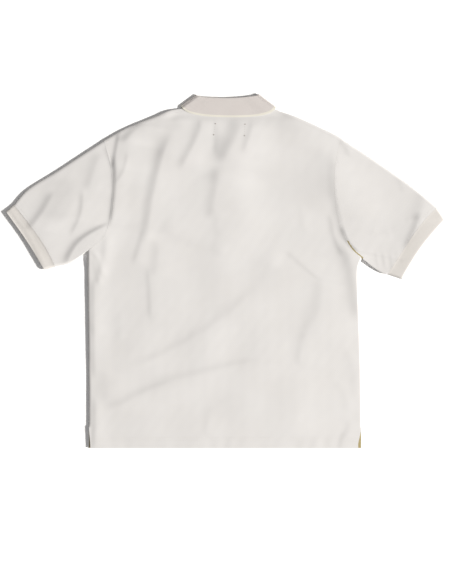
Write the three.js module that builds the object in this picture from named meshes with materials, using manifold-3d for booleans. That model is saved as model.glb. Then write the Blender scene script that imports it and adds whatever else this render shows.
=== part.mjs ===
// A boxy short-sleeved polo shirt, laid flat with its front face down and its back up.
// Millimetres. +X is the wearer's right, +Y runs to the collar and +Z is up. The front and the
// sleeves lie on z = 0, and the origin is the bottom centre of the shirt's bounding box.
import * as THREE from "three";
import Module from "manifold-3d";
import { mergeVertices } from "three/addons/utils/BufferGeometryUtils.js";

const wasm = await Module();
wasm.setup();

// Driving sizes
const seamGap = 0.3; // between pieces that are sewn together
const clothWall = 1.2; // a heavy knit, for the panels, sleeves and placket
const ribWall = 1.8; // the rib knit of the collar and cuffs
const layerGap = 0.9; // air between the two layers, besides the seam gap
const mostLoft = 3.4; // the widest that a fold opens the layers
const curl = { width: 12, lift: 1 }; // how the sewn edges of the panels turn up
const vent = { height: 32, fade: 14, insetLeft: 3, insetRight: 7 }; // open side slits at the hem
const hem = { depth: 22, raise: 0.5 }; // the turned-up hem, double thickness
const neck = { centre: 6, halfWidth: 80, top: 341, backDrop: 10, frontDrop: 79 };
const placket = { width: 30, length: 150, plateau: 24, ramp: 24, raise: 0.6 };
const button = { diameter: 11.5, thickness: 2.4, holeDiameter: 1.8, holeSpacing: 2.9, dish: 0.5 };
const buttonDrops = [15, 78]; // from the neckline, one for each button
const collar = {
  foldGap: 2.4, // between the stand and the fall, middle to middle
  standBack: 27,
  fallBack: 39,
  fallSide: 36,
  fallPoint: 62,
  pointSpread: 25, // degrees, how far the points lean outwards
  frontClearance: 1.5, // each end stops this far from the centre line
  plateau: 44, // the front panel stays lifted over the fall this far from the neckline
  ramp: 36,
};

// What follows from them
const panelLow = clothWall / 2; // middle of a panel that lies on the surface
const panelStep = clothWall + seamGap; // from one panel's middle to the next
const frontNeckHeight = 1.5 * ribWall + 2 * seamGap; // the fall is under the front panel there
const frontLift = frontNeckHeight - panelLow;
const backNeckHeight = frontNeckHeight + panelStep + layerGap;
const placketLow = button.thickness + seamGap; // the over strip lies on the buttons

const { smoothstep, lerp, degToRad } = THREE.MathUtils;

function table(columns, rows) {
  const names = columns.split(" ");
  return rows.map((row) => Object.fromEntries(names.map((name, i) => [name, row[i]])));
}

// Edges in plan, a row for each turn of the line
const edges = {
  left: {
    // hem to armpit
    side: table("x y", [
      [-283, -368.2],
      [-283, -226],
      [-285, -70],
      [-286.5, 43],
    ]),
    // armpit to shoulder tip
    armhole: table("x y", [
      [-286.5, 43],
      [-268, 57],
      [-250, 76],
      [-240.5, 108],
      [-235, 170],
      [-239, 220],
      [-252.5, 271],
    ]),
    // shoulder tip to neck
    shoulder: table("x y", [
      [-252.5, 271],
      [-205.7, 297],
      [-141.5, 323],
      [-115, 333],
      [-86, 337.5],
      [-74, 341],
    ]),
    sleeveTop: table("x y", [
      [-252.5, 271],
      [-305, 237],
      [-351.7, 206.5],
      [-410, 170],
      [-439.3, 138],
    ]),
    sleeveUnder: table("x y", [
      [-286.5, 43],
      [-302, 29],
      [-322.4, 16.6],
      [-353.2, 9.6],
    ]),
    cuffSeam: table("x y", [
      [-439.3, 138],
      [-405.6, 95.7],
      [-375, 52],
      [-353.2, 9.6],
    ]),
    cuffEdge: table("x y", [
      [-456.8, 121.9],
      [-424.7, 76.5],
      [-401.2, 41.6],
      [-377.9, 2.1],
    ]),
  },
  right: {
    side: table("x y", [
      [282.6, -368.2],
      [281.8, -226],
      [277, -70],
      [275.5, 0],
      [284, 27],
    ]),
    armhole: table("x y", [
      [284, 27],
      [263, 46],
      [247, 76],
      [236.5, 116],
      [230.5, 170],
      [232.5, 220],
      [245, 272],
    ]),
    shoulder: table("x y", [
      [245, 272],
      [226.9, 283.1],
      [155.6, 316.2],
      [114, 331],
      [107.7, 334],
      [86, 341],
    ]),
    sleeveTop: table("x y", [
      [245, 272],
      [293.7, 240],
      [360.7, 194],
      [399.6, 165],
      [439.9, 131.5],
    ]),
    sleeveUnder: table("x y", [
      [284, 27],
      [304.9, 8.7],
      [324.5, -3.7],
      [338.6, -6.2],
    ]),
    cuffSeam: table("x y", [
      [439.9, 131.5],
      [415.6, 108],
      [388.5, 72.8],
      [346.9, 8.3],
      [338.6, -6.2],
    ]),
    cuffEdge: table("x y", [
      [456.8, 106.3],
      [427.4, 72.8],
      [399.6, 36.6],
      [367.5, -16.2],
    ]),
  },
};

// How the collar turns round each side of the neck: degrees from straight up, and the stand's height
const collarSides = {
  left: { out: -1, lean: 30.9, spread: 42, stand: 27.3 },
  right: { out: 1, lean: 34.2, spread: 50.4, stand: 28.6 },
};

// Folds of the upper layer. rise is the crest's height, negative for a trough, and width is
// the distance over which it fades to nothing on each side.
const folds = table("fromX fromY viaX viaY toX toY width rise", [
  [-121, 290, -148, 179, -187, 29, 24, 2.4],
  [-142, 40, -165, -19, -163, -88, 26, 1.6],
  [-213, 175, -226, 92, -247, -20, 26, 1.8],
  [-219, 285, -231, 231, -237, 200, 20, 1.4],
  [-265, -50, -265, -206, -265, -358, 28, 2.2],
  [58, -33, -38, -116, -163, -191, 34, 2.1],
  [88, -181, -52, -208, -225, -279, 34, 2.1],
  [135, 33, 166, 6, 201, -25, 20, 1.5],
  [201, -25, 184, -102, 153, -179, 36, 2.3],
  [-25, 262, -25, 189, -40, 130, 24, 1.6],
  [-121, 79, 16, 37, 114, 17, 30, 1.1],
  [224, 85, 247, 19, 262, -70, 24, 1.7],
  [214, 216, 222, 121, 250, 52, 24, -0.7],
  [-362, 156, -385, 127, -401, 104, 24, 1.7],
  [-300, 120, -322, 70, -340, 40, 30, 1.8],
  [-277, 85, -308, 58, -330, 24, 16, -0.8],
  [418, 140, 402, 119, 374, 108, 22, 1.8],
  [262, 92, 300, 60, 330, 30, 26, 1.4],
  [270, 170, 320, 148, 372, 136, 34, 1.2],
]);

// Steps of the grids
const steps = {
  side: 16,
  armhole: 12,
  shoulder: 10,
  neckline: 12,
  sleeve: 8,
  cuff: 2,
  roll: 3,
  collarTurn: 5,
};

// Where the corners fall on a panel's unit square: u across from the left, v up from the hem
const corner = { neckLeft: 0.36, neckRight: 0.64, armpit: 0.62 };
const bodyWidth = 566;
const bodyHeight = 660;

const through = (rows) => {
  const curve = new THREE.SplineCurve(rows.map(({ x, y }) => new THREE.Vector2(x, y)));
  return (t) => curve.getPointAt(Math.min(Math.max(t, 0), 1));
};
const reversed = (curve) => (t) => curve(1 - t);
const straight = (from, to) => (t) => from.clone().lerp(to, t);

// One edge made of several, each with the parameter where it ends
function chain(...pieces) {
  return (t) => {
    let from = 0;
    for (const { curve, until } of pieces) {
      if (t <= until + 1e-9) return curve((t - from) / (until - from));
      from = until;
    }
    return pieces.at(-1).curve(1);
  };
}

// Half an ellipse from the left neck point to the right one
const neckline = (drop) => (t) => {
  const angle = Math.PI * (1 - t);
  return new THREE.Vector2(
    neck.centre + neck.halfWidth * Math.cos(angle),
    neck.top - drop * Math.sin(angle),
  );
};

// A surface in plan between four edges
function patch({ start, end, low, high }) {
  const corners = { a: start(0), b: start(1), c: end(0), d: end(1) };
  const mix = (axis, u, v) =>
    (1 - v) * start(u)[axis] + v * end(u)[axis] +
    (1 - u) * low(v)[axis] + u * high(v)[axis] -
    (1 - v) * ((1 - u) * corners.a[axis] + u * corners.b[axis]) -
    v * ((1 - u) * corners.c[axis] + u * corners.d[axis]);
  return (u, v) => new THREE.Vector2(mix("x", u, v), mix("y", u, v));
}

function distanceToLine(x, y, line) {
  let nearest = Infinity;
  for (let i = 0; i + 1 < line.length; i += 1) {
    const along = line[i + 1].clone().sub(line[i]);
    const from = new THREE.Vector2(x, y).sub(line[i]);
    const t = Math.min(Math.max(from.dot(along) / along.lengthSq(), 0), 1);
    nearest = Math.min(nearest, from.sub(along.multiplyScalar(t)).length());
  }
  return nearest;
}

const sampled = (curve, count) => Array.from({ length: count + 1 }, (_, i) => curve(i / count));
const frontNeckLine = sampled(neckline(neck.frontDrop), 24);
const placketTop = neck.top - neck.frontDrop;
const placketLine = [
  new THREE.Vector2(neck.centre, placketTop),
  new THREE.Vector2(neck.centre, placketTop - placket.length),
];
const foldLines = folds.map((fold) => {
  const middle = new THREE.Vector2(fold.viaX, fold.viaY);
  const from = new THREE.Vector2(fold.fromX, fold.fromY);
  const to = new THREE.Vector2(fold.toX, fold.toY);
  return { ...fold, line: sampled(through([from, middle, to]), 10) };
});

// 1 on the placket, falling to 0 beyond it
const nearPlacket = (x, y) =>
  smoothstep(placket.plateau + placket.ramp - distanceToLine(x, y, placketLine), 0, placket.ramp);

// Middle of the lower layer: it lies on the surface, but on the collar's fall and the buttons
// round the neck
function lowerMiddle(x, y) {
  const fromNeck = distanceToLine(x, y, frontNeckLine);
  const nearNeck = smoothstep(collar.plateau + collar.ramp - fromNeck, 0, collar.ramp);
  const insideNeck = y > placketTop && Math.abs(x - neck.centre) < neck.halfWidth ? 1 : 0;
  return panelLow + frontLift * Math.max(nearNeck, insideNeck, nearPlacket(x, y));
}

// How far the folds open the layers. The collar presses them shut at the neck.
function loft(x, y) {
  let total = 0;
  for (const { line, width, rise } of foldLines) {
    const across = distanceToLine(x, y, line) / width;
    total += rise * Math.exp(-3 * across * across);
  }
  const belowCollar = smoothstep(neck.top - y, 30, 60);
  const besideCollar = smoothstep(Math.abs(x - neck.centre), 110, 150);
  const open = Math.max(belowCollar, besideCollar) * (1 - 0.6 * nearPlacket(x, y));
  return Math.max(mostLoft * Math.tanh(total / mostLoft), -0.7) * open;
}

// A closed wall from a grid of paired points, one on each face. A ring grid closes on itself
// along its rows, and each face of four points is split along its shorter diagonal.
function wall(grid, isRing = false) {
  const rows = grid.length;
  const columns = grid[0].length;
  const positions = ["outer", "inner"].flatMap((face) =>
    grid.flatMap((row) => row.flatMap((pair) => pair[face].toArray())),
  );
  const outer = (i, j) => i * columns + (j % columns);
  const inner = (i, j) => rows * columns + outer(i, j);
  const index = [];
  const place = (k) => new THREE.Vector3().fromArray(positions, 3 * k);
  const quad = (a, b, c, d) => {
    const isShort = place(a).distanceTo(place(c)) <= place(b).distanceTo(place(d));
    index.push(...(isShort ? [a, b, c, a, c, d] : [a, b, d, b, c, d]));
  };
  const lastRow = rows - 1;
  const lastColumn = isRing ? columns : columns - 1;
  for (let i = 0; i < lastRow; i += 1) {
    for (let j = 0; j < lastColumn; j += 1) {
      quad(outer(i, j), outer(i, j + 1), outer(i + 1, j + 1), outer(i + 1, j));
      quad(inner(i, j), inner(i + 1, j), inner(i + 1, j + 1), inner(i, j + 1));
    }
    if (!isRing) {
      quad(outer(i, 0), outer(i + 1, 0), inner(i + 1, 0), inner(i, 0));
      quad(outer(i, lastColumn), inner(i, lastColumn), inner(i + 1, lastColumn), outer(i + 1, lastColumn));
    }
  }
  for (let j = 0; j < lastColumn; j += 1) {
    quad(outer(0, j), inner(0, j), inner(0, j + 1), outer(0, j + 1));
    quad(outer(lastRow, j), outer(lastRow, j + 1), inner(lastRow, j + 1), inner(lastRow, j));
  }
  const geometry = new THREE.BufferGeometry();
  geometry.setAttribute("position", new THREE.Float32BufferAttribute(positions, 3));
  geometry.setIndex(facesOut(positions, index) ? index : index.reverse());
  geometry.computeVertexNormals();
  return geometry;
}

// Whether the faces enclose a positive volume
function facesOut(positions, index) {
  const at = (k) => new THREE.Vector3().fromArray(positions, 3 * index[k]);
  let volume = 0;
  for (let k = 0; k < index.length; k += 3) {
    volume += at(k).dot(at(k + 1).cross(at(k + 2)));
  }
  return volume > 0;
}

function toManifold(geometry) {
  const plain = geometry.clone();
  plain.deleteAttribute("normal");
  plain.deleteAttribute("uv");
  const merged = mergeVertices(plain, 1e-4);
  return new wasm.Manifold(
    new wasm.Mesh({
      numProp: 3,
      vertProperties: new Float32Array(merged.attributes.position.array),
      triVerts: new Uint32Array(merged.index.array),
    }),
  );
}

function fromManifold(solid) {
  const mesh = solid.getMesh();
  const geometry = new THREE.BufferGeometry();
  geometry.setAttribute("position", new THREE.BufferAttribute(mesh.vertProperties, 3));
  geometry.setIndex(new THREE.BufferAttribute(mesh.triVerts, 1));
  geometry.computeVertexNormals();
  return geometry;
}

const cut = (geometry, tools) =>
  fromManifold(tools.reduce((solid, tool) => solid.subtract(toManifold(tool)), toManifold(geometry)));

const span = (from, to, count) => Array.from({ length: count }, (_, i) => lerp(from, to, (i + 1) / count));

// Grid lines across a panel, with a narrow strip at each side for the curl
function panelColumns() {
  const strip = curl.width / bodyWidth;
  return [
    0,
    strip / 2,
    strip,
    ...span(strip, corner.neckLeft, steps.shoulder - 2),
    ...span(corner.neckLeft, corner.neckRight, steps.neckline),
    ...span(corner.neckRight, 1 - strip, steps.shoulder - 2),
    1 - strip / 2,
    1,
  ];
}

// Grid lines up a panel: the hem, the side seam, the armhole and the shoulder's curl
function panelRows() {
  const hemTop = hem.depth / bodyHeight;
  const step = 1e-3;
  return [
    0,
    hemTop,
    hemTop + step,
    ...span(hemTop + step, corner.armpit, steps.side),
    ...span(corner.armpit, 1, steps.armhole),
  ];
}

// How far apart the layers are at a place on the panels: 0 at a sewn edge, 1 inside
function apart(u, v) {
  const ventTop = vent.height / bodyHeight;
  const fromSide = smoothstep(Math.min(u, 1 - u) * bodyWidth, 0, curl.width);
  const slit = 1 - smoothstep(v, ventTop, ventTop + vent.fade / bodyHeight);
  const armhole = smoothstep(v, corner.armpit, corner.armpit + 0.05);
  const fromShoulder = smoothstep((1 - v) * bodyHeight, 0, 2 * curl.width);
  const atNeck = smoothstep(Math.min(u - corner.neckLeft, corner.neckRight - u), 0, 0.04);
  return Math.min(Math.max(fromSide, slit, armhole), Math.max(fromShoulder, atNeck));
}

function panel({ drop, insetLeft, insetRight, middle, raise }) {
  const { left, right } = edges;
  const sideOf = ({ side, armhole }) =>
    chain({ curve: through(side), until: corner.armpit }, { curve: through(armhole), until: 1 });
  const inset = (curve, amount) => (v) => {
    const point = curve(v);
    point.x += amount * (1 - smoothstep(v * bodyHeight, 0, vent.height + vent.fade));
    return point;
  };
  const low = inset(sideOf(left), insetLeft);
  const high = inset(sideOf(right), -insetRight);
  const plan = patch({
    start: straight(low(0), high(0)),
    end: chain(
      { curve: through(left.shoulder), until: corner.neckLeft },
      { curve: neckline(drop), until: corner.neckRight },
      { curve: reversed(through(right.shoulder)), until: 1 },
    ),
    low,
    high,
  });
  const hemTop = hem.depth / bodyHeight;
  const grid = panelRows().map((v) =>
    panelColumns().map((u) => {
      const { x, y } = plan(u, v);
      const z = middle(x, y, apart(u, v));
      const extra = v <= hemTop ? raise : 0;
      return {
        outer: new THREE.Vector3(x, y, z + clothWall / 2 + extra),
        inner: new THREE.Vector3(x, y, z - clothWall / 2),
      };
    }),
  );
  return wall(grid);
}

const frontMiddle = (x, y, open) => lowerMiddle(x, y) + curl.lift * (1 - open);
const backMiddle = (x, y, open) =>
  frontMiddle(x, y, open) + panelStep +
  open * (layerGap + placket.raise * nearPlacket(x, y) + loft(x, y));

// A flattened tube between a seam and its far end, whose long edges roll round from layer to layer
function flatTube({ near, far, top, under, thickness, low, high, along, across }) {
  const plan = patch({
    start: near,
    end: far,
    low: anchored(top, near(0), far(0)),
    high: anchored(under, near(1), far(1)),
  });
  const layers = span(0, 1, across).slice(0, -1);
  const grid = [0, ...span(0, 1, along)].map((s) => {
    const length = plan(0, s).distanceTo(plan(1, s));
    const middleRadius = (high - low) / 2;
    const roll = (w, from, to) => {
      const edge = plan(w, s);
      const inwards = plan(w + (1 - 2 * w) / across, s).sub(edge).normalize();
      return [0, ...span(0, 1, steps.roll)].map((t) => {
        const angle = degToRad(lerp(from, to, t));
        const place = (radius) => {
          const in2 = middleRadius + thickness / 2 + radius * Math.cos(angle);
          return new THREE.Vector3(
            edge.x + inwards.x * in2,
            edge.y + inwards.y * in2,
            (low + high) / 2 + radius * Math.sin(angle),
          );
        };
        return {
          outer: place(middleRadius + thickness / 2),
          inner: place(middleRadius - thickness / 2),
        };
      });
    };
    const layer = (w, isUpper) => {
      const { x, y } = plan(w, s);
      const fromEdge = Math.min(w, 1 - w) * length;
      const open = smoothstep(fromEdge, 0, 40);
      const z = isUpper ? high + open * loft(x, y) : low;
      const out = isUpper ? thickness / 2 : -thickness / 2;
      return { outer: new THREE.Vector3(x, y, z + out), inner: new THREE.Vector3(x, y, z - out) };
    };
    return [
      ...roll(0, 270, 90),
      ...layers.map((w) => layer(w, true)),
      ...roll(1, 90, 270),
      ...layers.toReversed().map((w) => layer(w, false)),
    ];
  });
  return wall(grid, true);
}

// The same edge with its ends moved to two places
const anchored = (curve, from, to) => (t) =>
  curve(t)
    .add(from.clone().sub(curve(0)).multiplyScalar(1 - t))
    .add(to.clone().sub(curve(1)).multiplyScalar(t));

// The same edge moved sideways, out from the body where the distance is positive
const movedOut = (curve, distance, side) => (t) => {
  const step = 0.01;
  const along = curve(Math.min(t + step, 1)).sub(curve(Math.max(t - step, 0))).normalize();
  const turn = distance * collarSides[side].out;
  return curve(t).add(new THREE.Vector2(-along.y * turn, along.x * turn));
};

function sleeve(side) {
  const armhole = reversed(through(edges[side].armhole));
  const cuffSeam = through(edges[side].cuffSeam);
  return flatTube({
    near: movedOut(armhole, seamGap, side),
    far: movedOut(cuffSeam, -seamGap / 2, side),
    top: through(edges[side].sleeveTop),
    under: through(edges[side].sleeveUnder),
    thickness: clothWall,
    low: panelLow,
    high: panelLow + panelStep + layerGap,
    along: steps.sleeve,
    across: steps.armhole,
  });
}

function cuff(side) {
  const seam = through(edges[side].cuffSeam);
  const edge = through(edges[side].cuffEdge);
  return flatTube({
    near: movedOut(seam, seamGap / 2, side),
    far: edge,
    top: straight(seam(0), edge(0)),
    under: straight(seam(1), edge(1)),
    thickness: ribWall,
    low: ribWall / 2,
    high: ribWall / 2 + ribWall + 2 * seamGap,
    along: steps.cuff,
    across: steps.armhole,
  });
}

// The collar's stations on one side, from the centre front round the neck point to the centre
// back. turn is 0 where it lies face down and 180 where it lies face up.
function collarStations({ out, lean, spread, stand }) {
  const half = steps.neckline / 2;
  const firstAngle = Math.acos(collar.frontClearance / neck.halfWidth);
  const at = (angle, drop) => {
    const inwards = new THREE.Vector2(-out * Math.cos(angle) * drop, Math.sin(angle) * neck.halfWidth);
    inwards.setLength(seamGap);
    return {
      x: neck.centre + out * neck.halfWidth * Math.cos(angle) + inwards.x,
      y: neck.top - drop * Math.sin(angle) + inwards.y,
    };
  };
  const front = [0, ...span(0, 1, half)].map((t) => ({
    ...at(lerp(firstAngle, 0, t), neck.frontDrop),
    turn: 0,
    lean: lean * t ** 1.5,
    spread: lerp(collar.pointSpread, spread, t),
    stand: lerp(collar.standBack, stand, t),
    fall: lerp(collar.fallPoint, collar.fallSide, t ** 0.7),
  }));
  const turning = span(0, 180, steps.collarTurn).slice(0, -1).map((turn) => ({
    ...front.at(-1),
    turn,
  }));
  const back = [0, ...span(0, 1, half)].map((t) => ({
    ...at((t * Math.PI) / 2, neck.backDrop),
    turn: 180,
    lean: lean * (1 - t) ** 1.5,
    spread: spread * (1 - t) ** 1.5,
    stand: lerp(stand, collar.standBack, t),
    fall: lerp(collar.fallSide, collar.fallBack, t),
  }));
  return [...front, ...turning, ...back].map((station) => ({ ...station, out }));
}

// The hooked section at one station: up the stand, over the fold and down the fall
function collarSection({ x, y, turn, lean, spread, stand, fall, out }) {
  const leanAngle = degToRad(lean);
  const spreadAngle = degToRad(spread);
  const turnAngle = degToRad(turn);
  const up = new THREE.Vector3(-out * Math.sin(leanAngle), Math.cos(leanAngle), 0);
  const down = new THREE.Vector3(out * Math.sin(spreadAngle), -Math.cos(spreadAngle), 0);
  const beside = new THREE.Vector3(out * Math.cos(leanAngle), Math.sin(leanAngle), 0);
  const facing = beside.clone().multiplyScalar(Math.sin(turnAngle));
  facing.z = -Math.cos(turnAngle);
  const turnRadius = (backNeckHeight - frontNeckHeight) / 2;
  const foot = new THREE.Vector3(x, y, frontNeckHeight + turnRadius * (1 - Math.cos(turnAngle)));
  foot.addScaledVector(beside, turnRadius * Math.sin(turnAngle));
  foot.addScaledVector(up, seamGap * Math.sin(turnAngle));
  const head = foot.clone().addScaledVector(up, stand);
  const radius = collar.foldGap / 2;
  const pair = (middle, outwards) => ({
    outer: middle.clone().addScaledVector(outwards, ribWall / 2),
    inner: middle.clone().addScaledVector(outwards, -ribWall / 2),
  });
  const standPairs = [0, 0.5].map((share) =>
    pair(foot.clone().lerp(head, share), facing.clone().negate()),
  );
  const foldPairs = [0, 45, 90, 135, 180].map((degrees) => {
    const angle = degToRad(degrees);
    const radial = facing.clone().multiplyScalar(-Math.cos(angle)).addScaledVector(up, Math.sin(angle));
    const middle = head.clone().addScaledVector(facing, radius).addScaledVector(radial, radius);
    return pair(middle, radial);
  });
  const fallPairs = [1 / 3, 2 / 3, 1].map((share) => {
    const middle = head.clone().addScaledVector(facing, collar.foldGap).addScaledVector(down, fall * share);
    return pair(middle, facing);
  });
  return [...standPairs, ...foldPairs, ...fallPairs];
}

function collarGeometry() {
  const leftHalf = collarStations(collarSides.left);
  const rightHalf = collarStations(collarSides.right).toReversed().slice(1);
  return wall([...leftHalf, ...rightHalf].map(collarSection));
}

function strip(lowest, top) {
  const shape = new THREE.BoxGeometry(placket.width, placket.length, clothWall);
  shape.translate(neck.centre, top - placket.length / 2, lowest + clothWall / 2);
  return shape;
}

function frontPanel() {
  const whole = panel({
    drop: neck.frontDrop,
    insetLeft: 0,
    insetRight: 0,
    middle: frontMiddle,
    raise: 0,
  });
  const notchLength = placket.length + 40;
  const notch = new THREE.BoxGeometry(placket.width + 2 * seamGap, notchLength, 40);
  notch.translate(neck.centre, placketTop - placket.length - 2 * seamGap + notchLength / 2, 0);
  return cut(whole, [notch]);
}

function buttonGeometry() {
  const radius = button.diameter / 2;
  const half = button.thickness / 2;
  const profile = [
    [0, -half + button.dish],
    [radius * 0.6, -half + button.dish],
    [radius * 0.75, -half],
    [radius * 0.92, -half],
    [radius, -half * 0.4],
    [radius, half * 0.5],
    [radius * 0.85, half],
    [0, half],
  ].map(([x, y]) => new THREE.Vector2(x, y));
  const body = new THREE.LatheGeometry(profile, 24).rotateX(Math.PI / 2);
  const holes = [-1, 1].flatMap((i) =>
    [-1, 1].map((j) => {
      const hole = new THREE.CylinderGeometry(button.holeDiameter / 2, button.holeDiameter / 2, 8, 8);
      const offset = button.holeSpacing / 2;
      return hole.rotateX(Math.PI / 2).translate(i * offset, j * offset, 0);
    }),
  );
  return cut(body, holes);
}

const materials = {
  body: new THREE.MeshStandardMaterial({ color: "#e6e2dc", roughness: 0.95, metalness: 0 }),
  rib: new THREE.MeshStandardMaterial({ color: "#d9d3ca", roughness: 0.95, metalness: 0 }),
  button: new THREE.MeshStandardMaterial({ color: "#e9e4d8", roughness: 0.4, metalness: 0 }),
};

const group = new THREE.Group();
function add(name, geometry, material) {
  const mesh = new THREE.Mesh(geometry, material);
  mesh.name = name;
  group.add(mesh);
  return mesh;
}

add("front", frontPanel(), materials.body);
add(
  "back",
  panel({
    drop: neck.backDrop,
    insetLeft: vent.insetLeft,
    insetRight: vent.insetRight,
    middle: backMiddle,
    raise: hem.raise,
  }),
  materials.body,
);
for (const side of ["left", "right"]) {
  add(`sleeve_${side}`, sleeve(side), materials.body);
  add(`cuff_${side}`, cuff(side), materials.rib);
}
add("collar", collarGeometry(), materials.rib);
add("placket_over", strip(placketLow, placketTop - seamGap), materials.body);
add("placket_under", strip(placketLow + panelStep, placketTop - seamGap), materials.body);
buttonDrops.forEach((dropped, i) => {
  const mesh = add(`button_${i + 1}`, buttonGeometry(), materials.button);
  mesh.position.set(neck.centre, placketTop - dropped, button.thickness / 2);
});

export default group;
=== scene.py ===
# A boxy short-sleeved polo shirt in ecru knit, laid flat on its front, with its back up.
# Sizes are in millimetres and become metres when a mesh is made. +X is the wearer's right,
# +Y runs to the collar, +Z is up, and the shirt lies on z = 0.
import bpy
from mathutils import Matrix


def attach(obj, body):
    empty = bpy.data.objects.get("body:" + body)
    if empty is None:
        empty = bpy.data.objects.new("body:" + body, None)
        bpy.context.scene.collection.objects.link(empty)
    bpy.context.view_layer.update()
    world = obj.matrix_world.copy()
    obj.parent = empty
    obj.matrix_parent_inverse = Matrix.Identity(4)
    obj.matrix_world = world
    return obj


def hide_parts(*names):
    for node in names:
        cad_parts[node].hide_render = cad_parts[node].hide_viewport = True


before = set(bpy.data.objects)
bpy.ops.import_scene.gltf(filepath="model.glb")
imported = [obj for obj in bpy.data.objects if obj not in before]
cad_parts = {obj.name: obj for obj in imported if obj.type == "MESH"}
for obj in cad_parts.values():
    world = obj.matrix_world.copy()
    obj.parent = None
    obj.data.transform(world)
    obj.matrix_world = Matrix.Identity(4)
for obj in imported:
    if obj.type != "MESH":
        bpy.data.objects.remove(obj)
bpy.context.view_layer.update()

from functools import partial
import math
import bpy
import bmesh
import numpy as np

mm = 0.001
sides = ("left", "right")
print("frame loaded")

cloth = {
    "wall": 1.2,  # heavy knit
    "seamGap": 0.3,
    "sewnGap": 0.08,  # where a sleeve meets the body or its cuff
    "layerGap": 0.9,  # from the front up to the back, at the neck
    "loft": 2.6,  # the same gap further down
    "leastLoft": 0.1,  # and in the deepest dents
    "roundOver": 6,  # radius of the roll at the sewn edges
    "pressed": 2.5,  # and on the wearer's right, where they are pressed
    "pressedFrom": 120,  # how far right of the middle that starts
    "relief": 0.56,  # share of each crest below that is left after pressing
    "edgeLift": 0.4,  # how far the front turns up at its sewn edges
    "drape": 85,  # how far out the back slopes down from what it lies on
}
rib = {"wall": 1.8, "collarWall": 1.2, "depth": 0.12, "pointsPerRib": 4}
neck = {"centre": 6, "halfWidth": 80, "top": 341, "backDrop": 10, "frontDrop": 79}
placket = {"width": 30, "length": 150, "plateau": 24, "ramp": 24, "box": 20, "rounded": 0.5}
# The vents: how high and how far in the slits go, and how wide the band of painted shade is along
# the front's edges
vent = {"height": 32, "fade": 14, "insetLeft": 3, "insetRight": 7, "paintedShade": 9}
hem = {"depth": 22, "raise": 0.3, "fade": 12}
collar = {
    "foldGap": 1.4,
    "standBack": 27,
    "fallBack": 39,
    "fallPoint": 62,
    "pointSpread": 25,
    "frontClearance": 1.5,
    "plateau": 44,  # the panels stay lifted over the fall this far from the neckline
    "ramp": 36,
    "sag": 0.4,
    "plainEdge": 0.05,  # share of the way from the seam that is knitted without ribs
    "left": {"out": -1, "lean": 30.9, "spread": 54, "stand": 27.3, "fall": 38.5},
    "right": {"out": 1, "lean": 36, "spread": 53, "stand": 30, "fall": 45},
    "pressed": {"at": (-78, 355), "inwards": (0.6, -0.8), "over": 9, "share": 0.55},
}

panelLow = cloth["wall"] / 2
panelStep = cloth["wall"] + cloth["seamGap"]
frontNeckHeight = 1.5 * rib["collarWall"] + 2 * cloth["seamGap"]
frontLift = frontNeckHeight - panelLow
backNeckHeight = frontNeckHeight + panelStep + cloth["layerGap"]
placketTop = neck["top"] - neck["frontDrop"]
bodyWidth, bodyHeight, hemY = 566, 660, -368
corner = {"neckLeft": 0.36, "neckRight": 0.64, "armpit": 0.62}  # shares of the width and height

# Edges in plan, x and y of each turn of the line
edges = {
    "left": {
        "side": [(-283, -368.2), (-283, -226), (-285, -70), (-286.5, 43)],
        "armhole": [(-286.5, 43), (-268, 57), (-250, 76), (-240.5, 108), (-235, 170), (-239, 220),
                    (-252.5, 271)],
        "shoulder": [(-252.5, 271), (-205.7, 297), (-141.5, 323), (-115, 333), (-86, 337.5),
                     (-74, 341)],
        "sleeveTop": [(-252.5, 271), (-305, 237), (-351.7, 206.5), (-410, 170), (-439.3, 138)],
        "sleeveUnder": [(-286.5, 43), (-302, 29), (-322.4, 16.6), (-353.2, 9.6)],
        "cuffSeam": [(-439.3, 138), (-405.6, 95.7), (-375, 52), (-353.2, 9.6)],
        "cuffEdge": [(-456.8, 121.9), (-424.7, 76.5), (-401.2, 41.6), (-377.9, 2.1)],
    },
    "right": {
        "side": [(282.6, -368.2), (281.8, -226), (277, -70), (275.5, 0), (284, 27)],
        "armhole": [(284, 27), (263, 46), (247, 76), (236.5, 116), (230.5, 170), (232.5, 220),
                    (245, 272)],
        "shoulder": [(245, 272), (226.9, 283.1), (155.6, 316.2), (114, 331), (107.7, 334),
                     (86, 341)],
        "sleeveTop": [(245, 272), (293.7, 240), (360.7, 194), (399.6, 165), (439.9, 131.5)],
        "sleeveUnder": [(284, 27), (304.9, 8.7), (324.5, -3.7), (338.6, -6.2)],
        "cuffSeam": [(439.9, 131.5), (415.6, 108), (388.5, 72.8), (346.9, 8.3), (338.6, -6.2)],
        "cuffEdge": [(456.8, 106.3), (427.4, 72.8), (399.6, 36.6), (367.5, -16.2)],
    },
}

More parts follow.
